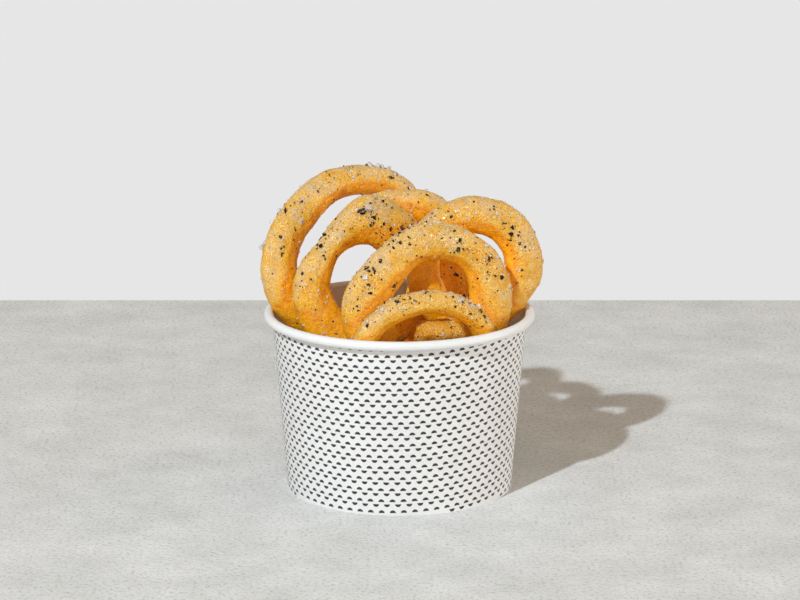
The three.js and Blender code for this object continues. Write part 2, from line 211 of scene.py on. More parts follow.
# Pixels of the photograph where the large pepper flakes lie, each with its length in mm.
PEPPER_PLACES = [
    (343.5, 165.2, 1.3), (366.0, 165.2, 1.6), (329.2, 174.8, 1.4), (301.4, 201.8, 2.0),
    (285.6, 210.7, 3.6), (276.0, 212.6, 1.2), (280.4, 236.6, 1.6), (283.7, 246.9, 1.6),
    (281.6, 254.7, 2.0), (308.1, 196.2, 1.1), (327.7, 207.6, 1.1), (291.8, 268.4, 1.1),
    (390.2, 177.2, 2.6), (396.6, 173.4, 1.7), (380.6, 191.3, 1.3), (383.2, 201.1, 1.6),
    (374.8, 199.2, 1.2), (362.7, 211.7, 3.4), (358.3, 211.4, 1.8), (371.3, 212.3, 1.1),
    (373.7, 217.4, 2.2), (370.8, 225.6, 2.2), (373.7, 222.7, 1.3), (376.1, 233.2, 1.7),
    (383.7, 223.9, 1.9), (390.4, 229.4, 2.1), (393.8, 235.6, 1.7), (399.8, 233.2, 1.6),
    (401.4, 227.0, 2.1), (393.1, 240.9, 1.5), (400.5, 242.8, 2.2), (393.3, 247.6, 2.6),
    (389.0, 244.7, 1.5), (344.5, 231.5, 1.6), (332.0, 228.7, 1.5), (325.3, 234.6, 3.0),
    (321.0, 246.1, 2.6), (317.2, 245.0, 1.6), (324.2, 256.4, 2.3), (336.6, 255.7, 1.4),
    (302.6, 273.9, 1.9), (380.4, 261.4, 2.5), (366.9, 268.6, 2.6), (369.2, 271.6, 2.0),
    (373.9, 269.6, 2.4), (374.3, 273.0, 1.6), (361.5, 276.7, 1.4), (367.9, 284.9, 1.7),
    (381.5, 279.3, 1.1), (394.0, 286.0, 2.2), (370.7, 293.1, 2.3), (358.0, 299.0, 1.3),
    (357.4, 306.6, 1.8), (358.0, 310.6, 1.5), (363.1, 320.7, 1.2), (367.4, 326.1, 2.2),
    (408.3, 188.0, 1.6), (427.1, 195.1, 1.8), (439.0, 208.4, 1.6), (426.6, 222.3, 1.6),
    (451.3, 217.0, 1.9), (448.4, 211.6, 1.3), (493.9, 206.5, 1.5), (494.1, 209.6, 1.5),
    (489.9, 209.7, 1.0), (512.6, 227.7, 2.0), (511.5, 233.6, 2.4), (510.5, 239.9, 1.7),
    (518.9, 235.4, 1.5), (519.6, 243.5, 1.8), (525.0, 246.8, 1.4), (503.5, 223.5, 1.2),
    (454.3, 231.0, 1.9), (459.7, 240.3, 2.2), (458.3, 249.2, 2.6), (463.2, 249.0, 1.2),
    (467.7, 249.3, 1.3), (477.0, 237.6, 1.3), (442.0, 238.1, 1.1), (424.4, 235.1, 1.1),
    (408.3, 237.1, 1.7), (409.8, 244.2, 1.8), (407.9, 227.5, 1.6), (488.9, 259.8, 2.8),
    (491.4, 257.9, 1.3), (486.9, 263.3, 1.5), (487.4, 272.2, 1.4), (495.3, 275.7, 1.8),
    (501.8, 277.8, 2.2), (521.8, 270.2, 1.5), (517.6, 283.1, 1.2), (451.0, 267.3, 1.3),
    (456.5, 275.2, 2.2), (461.4, 278.1, 1.3), (384.2, 302.8, 1.6), (397.2, 301.7, 2.6),
    (403.7, 299.8, 2.0), (410.2, 298.5, 2.2), (425.4, 293.3, 1.5), (430.3, 296.3, 1.3),
    (453.0, 297.4, 1.4), (455.5, 306.6, 1.5), (463.3, 302.8, 1.6), (470.9, 303.4, 1.4),
    (470.4, 313.7, 2.5), (469.9, 325.8, 1.2), (451.2, 327.8, 2.5), (480.7, 311.0, 2.5),
    (484.5, 316.4, 2.2), (486.1, 321.8, 1.3), (463.9, 295.8, 2.0), (469.1, 295.6, 1.4),
    (497.5, 290.9, 1.0), (417.8, 337.0, 1.4), (297.1, 323.4, 1.3), (336.4, 334.0, 1.3),
]
# The same for the coarse salt.
SALT_PLACES = [
    (369.8, 164.4, 1.8), (377.5, 166.2, 2.0), (382.0, 167.4, 1.4), (388.5, 169.2, 2.2),
    (278.0, 209.4, 1.6), (269.8, 221.2, 1.6), (265.4, 243.3, 1.6), (262.6, 247.6, 1.8),
    (312.0, 187.8, 1.3), (301.9, 221.7, 1.6), (368.4, 208.3, 2.2), (352.6, 180.1, 0.8),
    (329.5, 193.3, 0.8), (409.8, 188.0, 1.4), (496.3, 213.4, 1.2), (485.9, 246.0, 1.2),
    (489.9, 255.4, 1.0), (516.6, 268.7, 1.0), (437.5, 223.3, 1.1), (426.1, 189.6, 1.2),
    (365.8, 277.9, 2.2), (479.6, 307.7, 2.0), (472.0, 306.6, 1.6), (459.0, 301.0, 1.3),
    (367.9, 322.3, 1.2), (442.7, 334.8, 1.2), (383.0, 310.4, 1.2), (323.5, 332.8, 1.0),
]
# Where the fine pepper is thick: middle pixel, spread in pixels, number of specks.
SPECK_ZONES = [
    (385, 225, 20, 187), (365, 272, 9, 57), (400, 300, 12, 61), (455, 240, 16, 85),
    (490, 262, 10, 57), (513, 236, 9, 51), (475, 308, 10, 68), (330, 240, 12, 51),
    (285, 240, 16, 61), (340, 180, 26, 61), (430, 225, 22, 102), (425, 200, 18, 51),
    (440, 300, 20, 40), (500, 215, 18, 34), (360, 305, 12, 37), (300, 290, 18, 37),
    (455, 328, 12, 40), (515, 285, 12, 34),
]
ZONE_SIZES = (0.25, 1.1)       # mm, from the finest to the coarsest
# Tried all over the rings, and kept where seasoning would land: number, and sizes in mm.
LOOSE_PEPPER = {"count": 900, "sizes": (0.25, 1.8)}
LOOSE_SALT = {"count": 3400, "sizes": (0.25, 1.3)}
FINE_BIAS = 3                  # the larger, the more grains are fine
FALL = {
    "reach": 62.0,          # from the tub's middle to each side
    "slant": 0.55,          # typical sideways part of the fall
    "through": 90.0,        # height at which the reach is measured
    "back": 300.0,          # from there back to the start
    "lowest": 62.0,         # grains that land lower are left out
}
GRAIN_SCALE = {"pepper": 1.05, "salt": 1.4}    # real length for each mm in the lists of places
SPLINTERS = {
    "each": 0.7,            # mm of a flake for each splinter beside it
    "spread": 1.1,          # pixels for each mm of the flake
    "size": (0.25, 0.5),    # times the flake's length
}
EDGE_REACH = 2.0               # from a line of sight that just misses the rings to their edge
SIGHT = {"near": 1.5, "far": 1.8, "steps": 61}     # metres from the eye, along such a line

PEPPER_CHIP = {"width": (0.4, 0.9), "height": (0.3, 0.5), "uneven": (0.5, 1.3)}    # times the length
SALT_CHIP = {"least": [0.7, 0.5, 0.4], "most": [1.0, 0.9, 0.75], "uneven": 0.25}
CHIP_SPIN = 6.28   # radians, about a whole turn
CHIP_TILT = 0.35   # most that is added to each axis of the normal
CHIP_LIFT = 0.08   # times the chip's length, from the batter to its middle

# Name, place and size in mm, power in watts, colour. All face LAMP_AIM.
LAMPS = [
    ("key", (-1352.0, -2511.0, 2419.0), 90.0, 127.0, (0.84, 0.93, 1.0)),
    ("front_fill", (150.0, -2600.0, 560.0), 900.0, 13.0, (1.0, 0.95, 0.88)),
    ("right_fill", (1850.0, 50.0, 130.0), 240.0, 14.0, (1.0, 0.94, 0.88)),
]
LAMP_AIM = (0.0, 0.0, 60.0)
# Colour of the surround at and below the horizon, and from a height upwards.
SURROUND = {"low": (0.80, 0.79, 0.795), "high": (0.44, 0.37, 0.29), "high_from": 0.25}
TABLE = {"back_edge": 327.0, "reach": 3000.0}


# ---------------- small helpers

def value_noise(points, size, seed):
    """Smooth random field from -1 to 1 at each point, with bumps about size mm across."""
    place = np.asarray(points) / size
    cell = np.floor(place).astype(np.int64)
    part = place - cell
    part = part ** 3 * (part * (part * 6 - 15) + 10)

    def corner(i, j, k):
        """Random value at a corner of each point's cell."""
        mixed = (cell[..., 0] + i) * 73856093
        mixed ^= (cell[..., 1] + j) * 19349663
        mixed ^= (cell[..., 2] + k) * 83492791
        mixed ^= (seed + 1) * 40503
        mixed = (mixed ^ (mixed >> 13)) * 1274126177 & 0x7FFFFFFF
        mixed = (mixed ^ (mixed >> 15)) * 16807 & 0x7FFFFFFF
        return (mixed & 0xFFFF) / 32767.5 - 1

    total = 0
    for i, j, k in itertools.product((0, 1), repeat=3):
        weight = np.abs(1 - i - part[..., 0]) * np.abs(1 - j - part[..., 1])
        total = total + weight * np.abs(1 - k - part[..., 2]) * corner(i, j, k)
    return total


def around_stations(values, angle):
    """Smooth closed curve through evenly spaced values, read at any angles."""
    values = np.asarray(values, float)
    count = len(values)
    place = (angle / (2 * np.pi)) % 1 * count
    first = np.floor(place).astype(int)
    t = place - first

    def value(offset):
        return values[(first + offset) % count]

    slope_in = (value(1) - value(-1)) / 2
    slope_out = (value(2) - value(0)) / 2
    return (
        (2 * t ** 3 - 3 * t ** 2 + 1) * value(0) + (t ** 3 - 2 * t ** 2 + t) * slope_in
        + (3 * t ** 2 - 2 * t ** 3) * value(1) + (t ** 3 - t ** 2) * slope_out
    )


def grid_faces(rows, columns):
    """Quads over a grid of points that closes on itself both ways."""
    row, column = np.meshgrid(np.arange(rows), np.arange(columns), indexing="ij")
    next_row = (row + 1) % rows
    next_column = (column + 1) % columns
    corners = [
        row * columns + column,
        next_row * columns + column,
        next_row * columns + next_column,
        row * columns + next_column,
    ]
    return np.stack([corner.ravel() for corner in corners], axis=1)


def grid_normals(points):
    """Outward unit normals of a grid of points that closes on itself both ways."""
    along = np.roll(points, -1, axis=0) - np.roll(points, 1, axis=0)
    across = np.roll(points, -1, axis=1) - np.roll(points, 1, axis=1)
    normal = np.cross(along, across)
    return normal / np.linalg.norm(normal, axis=-1, keepdims=True)


def full_turn(steps, start=0.0):
    """Evenly spaced angles over a whole turn."""
    return np.linspace(start, start + 2 * np.pi, steps, endpoint=False)


def around_tub(radius, height, theta):
    """Points at each radius and height, at an angle round the tub from its front."""
    return np.stack([radius * np.sin(theta), -radius * np.cos(theta), height], axis=-1)


def make_object(name, points, faces, material, smooth):
    """An object in the scene, from points in millimetres."""
    mesh = bpy.data.meshes.new(name)
    faces = faces.tolist() if isinstance(faces, np.ndarray) else faces
    mesh.from_pydata((np.reshape(points, (-1, 3)) * MM).tolist(), [], faces)
    mesh.validate()
    mesh.polygons.foreach_set("use_smooth", [smooth] * len(mesh.polygons))
    mesh.materials.append(material)
    made = bpy.data.objects.new(name, mesh)
    bpy.context.scene.collection.objects.link(made)
    return made


def make_piece(name, points, faces, material, smooth=True):
    """A piece of the onion rings side, riding on its only body."""
    piece = make_object(name, points, faces, material, smooth)
    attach(piece, "root")
    return piece


# ---------------- materials

class Nodes:
    """A new material with a Principled shader, and short ways to add nodes to it."""

    def __init__(self, name):
        self.material = bpy.data.materials.new(name)
        self.material.use_nodes = True
        self.tree = self.material.node_tree
        self.shader = self.tree.nodes["Principled BSDF"]

    def add(self, kind, **inputs):
        node = self.tree.nodes.new(kind)
        for name, value in inputs.items():
            self.feed(node.inputs[name.replace("_", " ")], value)
        return node

    def feed(self, socket, value):
        if isinstance(value, bpy.types.NodeSocket):
            self.tree.links.new(value, socket)
        else:
            socket.default_value = value

    def set(self, **inputs):
        for name, value in inputs.items():
            self.feed(self.shader.inputs[name.replace("_", " ")], value)

    def millimetres(self):
        """Place on the object, in millimetres."""
        place = self.add("ShaderNodeTexCoord").outputs["Object"]
        scaled = self.add("ShaderNodeVectorMath")
        scaled.operation = "SCALE"
        self.feed(scaled.inputs[0], place)
        self.feed(scaled.inputs["Scale"], 1 / MM)
        return scaled.outputs["Vector"]

    def upward(self):
        """How far the surface faces up, from -1 to 1."""
        normal = self.add("ShaderNodeTexCoord").outputs["Normal"]
        return self.add("ShaderNodeSeparateXYZ", Vector=normal).outputs["Z"]

    def noise(self, place, size, detail=2.0, roughness=0.5):
        """Noise with spots about size mm across."""
        node = self.add(
            "ShaderNodeTexNoise", Vector=place, Scale=1 / size, Detail=detail, Roughness=roughness
        )
        return node.outputs["Fac"]

    def ramp(self, factor, stops):
        """Colour that changes with factor through stops, each a position and a colour or a grey."""
        node = self.add("ShaderNodeValToRGB", Fac=factor)
        ends = node.color_ramp.elements
        while len(ends) < len(stops):
            ends.new(0.5)
        for end, (position, colour) in zip(ends, stops):
            end.position = position
            end.color = (*colour, 1) if isinstance(colour, tuple) else (colour, colour, colour, 1)
        return node.outputs["Color"]

    def blend(self, factor, first, second, mode="MIX"):
        node = self.tree.nodes.new("ShaderNodeMix")
        node.data_type = "RGBA"
        node.blend_type = mode
        self.feed(node.inputs[0], factor)
        self.feed(node.inputs[6], first)
        self.feed(node.inputs[7], second)
        return node.outputs[2]

    def math(self, operation, first, second):
        node = self.tree.nodes.new("ShaderNodeMath")
        node.operation = operation
        self.feed(node.inputs[0], first)
        self.feed(node.inputs[1], second)
        return node.outputs[0]

    def bump(self, height, depth, below=None):
        """Bump of the given depth in millimetres, on top of another bump if one is given."""
        node = self.add("ShaderNodeBump", Height=height, Strength=1.0, Distance=depth * MM)
        if below is not None:
            self.feed(node.inputs["Normal"], below)
        return node.outputs["Normal"]


def lit_crust_colour(nodes, place, grain, flour_and_glint, looks):
    """Crust where light reaches it: toasted, golden and pale patches, painted palest where it faces up,
    with brown pits.
    """
    patches = nodes.noise(place, size=9.0, detail=4.0, roughness=0.6)
    # Painted light: the patches turn paler the more the surface faces up.
    patches = nodes.math("ADD", patches, nodes.math("MULTIPLY", nodes.upward(), 0.14))
    stops = [(0.40, looks["toasted"]), (0.53, looks["golden"]), (0.66, looks["pale"])]
    colour = nodes.blend(flour_and_glint, nodes.ramp(patches, stops), (*FLOUR_AND_GLINT, 1))
    pits = nodes.ramp(grain, [(0.36, 0.75), (0.45, 0.0)])
    return nodes.blend(pits, colour, (*BROWN, 1))


def shaded_crust_colour(nodes, grain, flour_and_glint, painted_shade):
    """Painted shade: amber to deep orange, the deeper the more sky is hidden, darker in pits and with
    few flecks.
    """
    colour = nodes.ramp(painted_shade, [(0.30, SHADE_AMBER), (0.56, SHADE_ORANGE), (0.86, DEEP_SHADE_ORANGE)])
    shade = nodes.ramp(grain, [(0.34, (0.85, 0.70, 0.62)), (0.54, 1.0)])
    colour = nodes.blend(1.0, colour, shade, "MULTIPLY")
    return nodes.blend(nodes.math("MULTIPLY", flour_and_glint, 0.3), colour, (*FLOUR_AND_GLINT, 1))


def batter_material(name, looks):
    """Fried batter: pale golden crust where it lies open, and painted shade in amber to deep orange
    where other batter hides the sky from it.
    """
    nodes = Nodes(name)
    place = nodes.millimetres()
    grain = nodes.noise(place, size=1.3, detail=3.0, roughness=0.75)
    sand = nodes.noise(place, size=0.62, detail=1.0, roughness=0.6)
    # Pale flecks, partly flour and salt and partly painted glints, thick where the dusting is.
    flecks = nodes.ramp(sand, [(0.55, 0.0), (0.62, 1.0)])
    dusting = nodes.ramp(nodes.noise(place, size=5.0, detail=3.0), [(0.38, 0.15), (0.64, 0.9)])
    flour_and_glint = nodes.math("MULTIPLY", flecks, dusting)
    # Each point's painted shade, from the hidden share of its sky, with a little grain mixed in.
    hidden = nodes.add("ShaderNodeAttribute")
    hidden.attribute_name = "painted_shade"
    painted_shade = nodes.math("ADD", hidden.outputs["Fac"], nodes.math("MULTIPLY", grain, 0.16))
    # Painted shade: the lit crust gives way to the shaded one as more of the sky is hidden.
    colour = nodes.blend(
        nodes.ramp(painted_shade, [(0.24, 0.0), (0.56, 0.95)]),
        lit_crust_colour(nodes, place, grain, flour_and_glint, looks),
        shaded_crust_colour(nodes, grain, flour_and_glint, painted_shade),
    )
    skin = nodes.bump(grain, depth=looks["grain_depth"] * 0.8)
    skin = nodes.bump(sand, depth=looks["grain_depth"], below=skin)
    nodes.set(
        Base_Color=colour, Roughness=nodes.ramp(grain, [(0.35, 0.36), (0.65, 0.6)]),
        Normal=skin, IOR=1.5, Specular_IOR_Level=0.3,
        Subsurface_Weight=0.4, Subsurface_Radius=(1.0, 0.55, 0.08), Subsurface_Scale=7.0 * MM,
    )
    return nodes.material


def board_material():
    """White coated board: soft gloss over a faint fibre texture."""
    nodes = Nodes("board")
    place = nodes.millimetres()
    fibres = nodes.noise(place, size=0.5, detail=3.0, roughness=0.6)
    cloud = nodes.noise(place, size=18.0)
    colour = nodes.ramp(cloud, [(0.3, (0.665, 0.665, 0.66)), (0.7, (0.695, 0.695, 0.69))])
    nodes.set(
        Base_Color=colour, Roughness=nodes.ramp(fibres, [(0.3, 0.46), (0.7, 0.56)]),
        Normal=nodes.bump(fibres, depth=0.012), Specular_IOR_Level=0.3,
        Subsurface_Weight=0.3, Subsurface_Radius=(1.0, 1.0, 1.0), Subsurface_Scale=1.2 * MM,
    )
    return nodes.material


def ink_material():
    """Near-black brown ink, a little uneven where it soaked in."""
    nodes = Nodes("ink")
    place = nodes.millimetres()
    mottle = nodes.noise(place, size=0.6, detail=3.0)
    colour = nodes.ramp(mottle, [(0.35, (0.014, 0.011, 0.010)), (0.7, (0.05, 0.038, 0.03))])
    nodes.set(Base_Color=colour, Roughness=0.42, Coat_Weight=0.2, Coat_Roughness=0.25)
    return nodes.material


def pepper_material():
    """Cracked black pepper: black skins, brown broken sides and a few grey inner chips."""
    nodes = Nodes("pepper")
    place = nodes.millimetres()
    colour = nodes.ramp(nodes.noise(place, size=0.9, detail=1.0), [
        (0.50, (0.003, 0.0025, 0.0025)), (0.58, (0.012, 0.007, 0.005)),
        (0.62, (0.12, 0.045, 0.012)), (0.70, (0.34, 0.27, 0.20)),
    ])
    skin = nodes.bump(nodes.noise(place, size=0.25), depth=0.06)
    nodes.set(Base_Color=colour, Roughness=0.6, Specular_IOR_Level=0.25, Normal=skin)
    return nodes.material


def salt_material():
    """Clear salt with cloudy patches."""
    nodes = Nodes("salt")
    cloud = nodes.noise(nodes.millimetres(), size=0.8)
    colour = nodes.ramp(cloud, [(0.3, (0.82, 0.82, 0.82)), (0.7, (0.96, 0.96, 0.96))])
    nodes.set(
        Base_Color=colour, Roughness=nodes.ramp(cloud, [(0.35, 0.08), (0.65, 0.4)]),
        IOR=1.54, Transmission_Weight=0.6,
    )
    return nodes.material


def table_material():
    """Plain pale grey table top, faintly clouded and gritty."""
    nodes = Nodes("table")
    place = nodes.millimetres()
    cloud = nodes.noise(place, size=38.0, detail=6.0, roughness=0.68)
    colour = nodes.ramp(cloud, [(0.35, (0.60, 0.605, 0.60)), (0.65, (0.72, 0.725, 0.725))])
    grit = nodes.noise(place, size=1.7, detail=3.0, roughness=0.7)
    grit = nodes.ramp(grit, [(0.36, 0.72), (0.48, 1.0)])
    skin = nodes.bump(nodes.noise(place, size=3.0, detail=5.0, roughness=0.75), depth=0.7)
    nodes.set(Base_Color=nodes.blend(1.0, colour, grit, "MULTIPLY"), Roughness=0.8, Normal=skin)
    return nodes.material


# ---------------- battered rings

def ring_frame(ring):
    """Rotation from a ring's own frame (x right, y up, z to the front) to the tub's."""
    swing = Matrix.Rotation(math.radians(ring["turn"]), 3, "Z")
    stand = Matrix.Rotation(math.radians(90 - ring["lean"]), 3, "X")
    return np.array(swing @ stand)


def batter_lump(around, section, phase):
    """The same swell and dip that the solid ring has."""
    return BATTER_LUMP * (
        0.45 * np.sin(3 * around + section + phase)
        + 0.35 * np.sin(7 * around - 2 * section + 2.1 * phase)
        + 0.2 * np.sin(12 * around + 3 * section + 3.7 * phase)
    )


def ring_skin(ring, around, section):
    """Points on a ring's smooth skin, in the tub's frame."""
    lump = batter_lump(around, section, ring["seed"])
    outward = (around_stations(ring["half"], around) + lump) * np.cos(section)
    forward = around_stations(ring.get("bow", FLAT), around) + (ring["thick"] + lump) * np.sin(section)
    radius = around_stations(ring["mid"], around) + outward
    local = np.stack([radius * np.cos(around), radius * np.sin(around), forward], axis=-1)
    return local @ ring_frame(ring).T + np.array(ring["at"])


def relief(kind, points, seed, only_up=False):
    """Height of one kind of bump at each point, or of its rises alone, which are then steeper."""
    height, width = RELIEF[kind]
    field = value_noise(points, width, seed)
    return height * (np.maximum(0, field) ** 1.5 if only_up else field)


def batter_relief(points, seed, rough=1.0):
    """Height of the fried batter over its smooth skin: broad lumps, dimples and small blisters."""
    lumps = relief("lumps", points, seed)
    dimples = relief("dimples", points, seed + 20)
    blisters = relief("blisters", points, seed + 40, only_up=True)
    crumbs = relief("crumbs", points, seed + 60)
    return lumps + rough * (dimples + blisters + crumbs)


def ring_grid(steps, sides):
    """Angles round a ring and round its section, as a grid."""
    return np.meshgrid(full_turn(steps), full_turn(sides), indexing="ij")


def all_blockers():
    """Coarse rings and tub wall, as one tree that rays are cast at."""
    points, faces = [], []
    sheets = [ring_skin(ring, *ring_grid(*COARSE)) for ring in RINGS]
    theta = full_turn(COARSE_WALL["turns"], BACK)
    sheets.append(wall_points(wall_profile()[::COARSE_WALL["every"]], theta))
    for sheet in sheets:
        start = sum(len(block) for block in points)
        points.append(sheet.reshape(-1, 3))
        faces += (grid_faces(*sheet.shape[:2]) + start).tolist()
    return BVHTree.FromPolygons(np.vstack(points).tolist(), faces)


def sky_directions(count):
    """Even spread of directions over the whole sphere."""
    step = np.arange(count) + 0.5
    height = 1 - 2 * step / count
    spin = np.pi * (1 + math.sqrt(5)) * step
    flat = np.sqrt(1 - height ** 2)
    return np.stack([flat * np.cos(spin), flat * np.sin(spin), height], axis=1)


def ring_painted_shade(ring, blockers, steps, sides):
    """Share of the sky over each point of a ring that batter or the tub hides, from 0 to 1, which sets
    its painted shade.
    """
    coarse = ring_skin(ring, *ring_grid(*COARSE))
    normals = grid_normals(coarse)
    hidden = np.zeros(COARSE)
    weight = np.zeros(COARSE)
    for direction in sky_directions(PAINTED_SHADE_RAYS["ways"]):
        facing = np.maximum(normals @ direction, 0)
        weight += facing
        for row, column in zip(*np.nonzero(facing)):
            start = coarse[row, column] + normals[row, column] * PAINTED_SHADE_RAYS["start"]
            if blockers.ray_cast(start, direction, PAINTED_SHADE_RAYS["reach"])[0] is not None:
                hidden[row, column] += facing[row, column]
    return spread(hidden / weight, steps, sides)


def spread(share, steps, sides):
    """Values on the coarse ring, blended between its points for a finer one."""
    row = np.arange(steps)[:, None] * COARSE[0] / steps
    column = np.arange(sides)[None, :] * COARSE[1] / sides
    low_row, low_column = row.astype(int), column.astype(int)
    high_row, high_column = (low_row + 1) % COARSE[0], (low_column + 1) % COARSE[1]
    row_part, column_part = row - low_row, column - low_column
    near = share[low_row, low_column] * (1 - column_part) + share[low_row, high_column] * column_part
    far = share[high_row, low_column] * (1 - column_part) + share[high_row, high_column] * column_part
    return near * (1 - row_part) + far * row_part


def crust_piece(name, points, faces, material, painted_shade):
    """Battered piece that keeps each point's painted shade, where its material reads it."""
    piece = make_piece(name, points, faces, material)
    values = np.zeros(len(piece.data.vertices)) + np.ravel(painted_shade)
    attribute = piece.data.attributes.new("painted_shade", "FLOAT", "POINT")
    attribute.data.foreach_set("value", values.astype(np.float32))
    return piece


def ring_piece(ring, material, blockers):
    """Fine battered ring in the place of its solid."""
    step = ring.get("step", STEP)
    steps = int(2 * math.pi * max(ring["mid"]) / step)
    sides = int(2 * math.pi * (max(ring["half"]) + ring["thick"]) / 2 / step)
    around, section = ring_grid(steps, sides)
    points = ring_skin(ring, around, section)
    normals = grid_normals(points)
    points = points + normals * batter_relief(points, ring["seed"])[..., None]
    name = ring["name"].replace("ring", "crust")
    # Painted shade: from the hidden share of the sky, and more on the side that faces the ring's own
    # hole.
    inner_side = np.clip(-np.cos(section), 0, 1)
    painted_shade = ring_painted_shade(ring, blockers, steps, sides) + INNER_PAINTED_SHADE * inner_side
    piece = crust_piece(name, points, grid_faces(steps, sides), material, painted_shade)
    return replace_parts(piece, ring["name"])


def ball_points(rows, columns):
    """Unit sphere as a grid of points from pole to pole, with its faces."""
    tilt = np.linspace(-np.pi / 2, np.pi / 2, rows + 2)[1:-1]
    tilt, spin = np.meshgrid(tilt, full_turn(columns), indexing="ij")
    points = np.stack([np.sin(tilt), np.cos(tilt) * np.cos(spin), np.cos(tilt) * np.sin(spin)], axis=-1)
    faces = grid_faces(rows, columns)[:(rows - 1) * columns].tolist()
    points = np.vstack([points.reshape(-1, 3), [[-1, 0, 0]], [[1, 0, 0]]])
    first_pole = rows * columns
    last_pole = first_pole + 1
    last_row = (rows - 1) * columns
    for column in range(columns):
        after = (column + 1) % columns
        faces.append((first_pole, column, after))
        faces.append((last_pole, last_row + after, last_row + column))
    return points, faces


def turned(points, at, turn, tip):
    """Points tipped about their Y axis, swung about Z and moved into place."""
    swing = Matrix.Rotation(math.radians(turn), 3, "Z")
    roll = Matrix.Rotation(math.radians(-tip), 3, "Y")
    return points @ np.array(swing @ roll).T + np.array(at)


def stub_piece(material):
    """Broken bit of a ring: a short bowed length with rounded, crumbly ends."""
    rows = int(2 * (STUB["radius"] + STUB["length"]) / STUB["step"])
    columns = int(2 * math.pi * STUB["radius"] / STUB["step"])
    ball, faces = ball_points(rows, columns)
    points = ball * STUB["radius"]
    points[:, 0] += np.clip(ball[:, 0] * STUB["pull"], -1, 1) * STUB["length"] / 2
    lump = batter_lump(points[:, 0] / STUB["radius"], points[:, 1], STUB["seed"])
    points[:, 1:] *= (1 + lump / STUB["radius"])[:, None]
    bend = STUB["bow"] * (points[:, 0] / (STUB["length"] + STUB["radius"])) ** 2
    points[:, 2] -= bend
    height = batter_relief(points, STUB["seed"], STUB["rough"])
    height = height + relief("breaks", points, STUB["break_seed"])
    points += ball / np.linalg.norm(ball, axis=1, keepdims=True) * height[:, None]
    points = turned(points, STUB["at"], STUB["turn"], STUB["tip"])
    # The stub gets one painted shade all over.
    piece = crust_piece("crust_stub", points, faces, material, BIT_PAINTED_SHADE["stub"])
    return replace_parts(piece, "ring_stub")


def crumb_piece(material):
    """Loose crumb of batter leaning in the low front ring."""
    ball, faces = ball_points(*CRUMB["grid"])
    height, width = CRUMB["uneven"]
    swell = 1 + height * value_noise(ball, width, CRUMB["seed"])
    points = ball * np.array(CRUMB["size"]) * swell[:, None]
    points = turned(points, CRUMB["at"], 0, CRUMB["tip"])
    # The crumb gets a little painted shade all over.
    piece = crust_piece("crust_crumb", points, faces, material, BIT_PAINTED_SHADE["crumb"])
    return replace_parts(piece, "batter_crumb")


# ---------------- paper tub

def roll_centre():
    return TUB["rim_radius"] - TUB["roll_radius"], TUB["height"] - TUB["roll_radius"]


def wall_radius(z):
    """Outside radius of the wall at a height."""
    centre_radius, centre_z = roll_centre()
    top = centre_radius - (TUB["roll_radius"] - TUB["paper"])
    return TUB["base_radius"] + (top - TUB["base_radius"]) * z / centre_z


def line_points(start, end, steps):
    """Evenly spaced points from start, up to but without end."""
    share = np.arange(steps)[:, None] / steps
    return np.array(start) * (1 - share) + np.array(end) * share


def arc_points(radius, start, end, steps):
    """Points round the rim's curl, between two angles in degrees from its outer side."""
    centre_radius, centre_z = roll_centre()
    angle = np.radians(np.linspace(start, end, steps))
    return np.stack([centre_radius + radius * np.cos(angle), centre_z + radius * np.sin(angle)], axis=1)


def wall_profile():
    """Radius and height round the section of the wall, its rolled rim and its folded foot."""
    paper, steps = TUB["paper"], WALL_STEPS
    centre_radius, centre_z = roll_centre()
    flap_outer = TUB["base_radius"] - paper - TUB["flap_gap"]
    flap_inner = flap_outer - paper
    foot = (TUB["base_radius"], 0)
    wall_top = (wall_radius(centre_z), centre_z)
    wall_top_inside = (centre_radius - TUB["roll_radius"], centre_z)
    foot_inside = (TUB["base_radius"] - paper, paper)
    return np.vstack([
        line_points(foot, wall_top, steps["side"]),
        arc_points(TUB["roll_radius"] - paper, 180, TUB["curl_end"], steps["curl_inside"]),
        arc_points(TUB["roll_radius"], TUB["curl_end"], TUB["curl_join"], steps["curl_outside"]),
        line_points(wall_top_inside, foot_inside, steps["side"]),
        line_points(foot_inside, (flap_outer, paper), steps["foot"]),
        line_points((flap_outer, paper), (flap_outer, TUB["flap_top"]), steps["flap"]),
        line_points((flap_outer, TUB["flap_top"]), (flap_inner, TUB["flap_top"]), steps["flap_top"]),
        line_points((flap_inner, TUB["flap_top"]), (flap_inner, 0), steps["flap"]),
        line_points((flap_inner, 0), foot, steps["foot"]),
    ])


def seam_height(theta):
    """How far the board stands out at the side seam, where its ends overlap."""
    arc = ((np.degrees(theta) - SEAM["at"] + 180) % 360 - 180) * math.pi / 180 * TUB["base_radius"]
    flat = (arc > 0) & (arc < SEAM["overlap"])
    tail = np.clip(1 - (arc - SEAM["overlap"]) / SEAM["fade"], 0, 1)
    return SEAM["step"] * np.where(flat, 1, np.where(arc >= SEAM["overlap"], tail, 0))


def turn_steps():
    """Angles round the tub from its front, with two close together at the seam's cut edge."""
    cut = [math.radians(SEAM["at"]) + offset for offset in SEAM["cut"]]
    return np.sort(np.append(full_turn(TUB["turns"], BACK), cut))


def wall_points(profile, theta):
    """A section swept round the tub, standing out at the seam."""
    radius, height = profile.T
    on_outside = (radius > wall_radius(height) - SEAM["margin"]) & (height <= roll_centre()[1])
    radius = radius + seam_height(theta)[:, None] * on_outside
    return around_tub(radius, height + 0 * radius, theta[:, None])


def paper_piece(name, points, material):
    """Board with crisp creases, from a grid of points."""
    piece = make_piece(name, points, grid_faces(*points.shape[:2]), material)
    piece.data.set_sharp_from_angle(angle=math.radians(TUB["sharp"]))
    return piece


